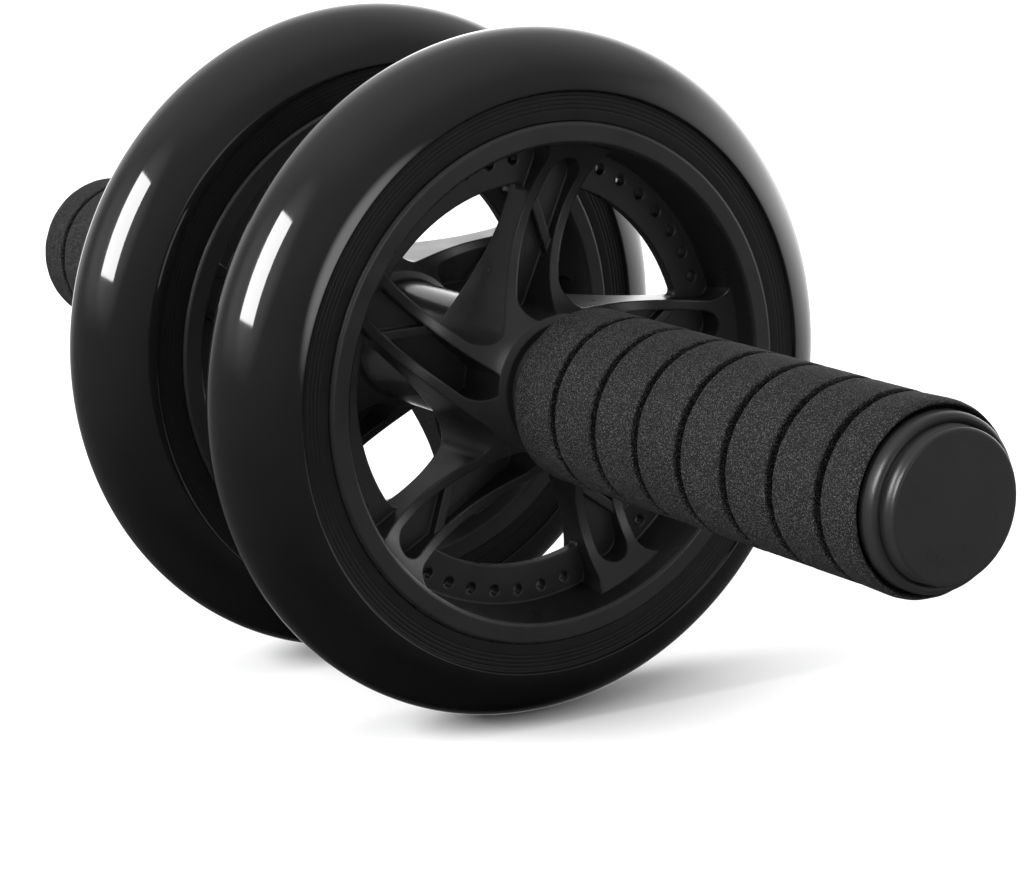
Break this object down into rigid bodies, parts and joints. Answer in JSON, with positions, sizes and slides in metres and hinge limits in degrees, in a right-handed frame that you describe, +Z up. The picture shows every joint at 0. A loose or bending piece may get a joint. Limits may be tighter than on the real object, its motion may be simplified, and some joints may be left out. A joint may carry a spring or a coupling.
{
  "type": "ab wheel roller",
  "caption": "Twin-wheel ab roller: spoked wheels with round tyres turn freely on a steel axle between ribbed foam handles with end caps.",
  "frame": {"origin": "on the floor, under the middle of the axle", "axes": "+Y along the axle towards the left handle, +X along the rolling direction, +Z up"},
  "size_m": [0.16, 0.371, 0.16],
  "materials": {
    "tyre_rubber": "glossy moulded thermoplastic rubber",
    "rim_plastic": "satin moulded plastic",
    "bush_nylon": "natural nylon",
    "washer_nylon": "black nylon",
    "axle_steel": "drawn steel tube",
    "spring_steel": "oiled spring steel",
    "spacer_plastic": "glossy moulded plastic",
    "core_plastic": "moulded plastic",
    "grip_foam": "closed-cell foam with fine cells",
    "cap_plastic": "satin moulded plastic"
  },
  "bodies": {
    "axle": {"axle_tube": "axle_steel", "centre_spacer": "spacer_plastic", "right_inner_washer": "washer_nylon", "right_outer_washer": "washer_nylon", "right_retaining_ring": "spring_steel", "right_handle_core": "core_plastic", "right_core_pin": "spring_steel", "right_foam_grip": "grip_foam", "right_end_cap": "cap_plastic", "left_inner_washer": "washer_nylon", "left_outer_washer": "washer_nylon", "left_retaining_ring": "spring_steel", "left_handle_core": "core_plastic", "left_core_pin": "spring_steel", "left_foam_grip": "grip_foam", "left_end_cap": "cap_plastic"},
    "right_wheel": {"right_rim": "rim_plastic", "right_tyre": "tyre_rubber", "right_outer_bush": "bush_nylon", "right_inner_bush": "bush_nylon"},
    "left_wheel": {"left_rim": "rim_plastic", "left_tyre": "tyre_rubber", "left_outer_bush": "bush_nylon", "left_inner_bush": "bush_nylon"}
  },
  "joints": [
    {"name": "right_wheel_spin", "type": "hinge", "parent": "axle", "child": "right_wheel", "pos_m": [0, 0, 0.08], "axis": [0, 1, 0], "continuous": true},
    {"name": "left_wheel_spin", "type": "hinge", "parent": "axle", "child": "left_wheel", "pos_m": [0, 0, 0.08], "axis": [0, 1, 0], "continuous": true}
  ]
}
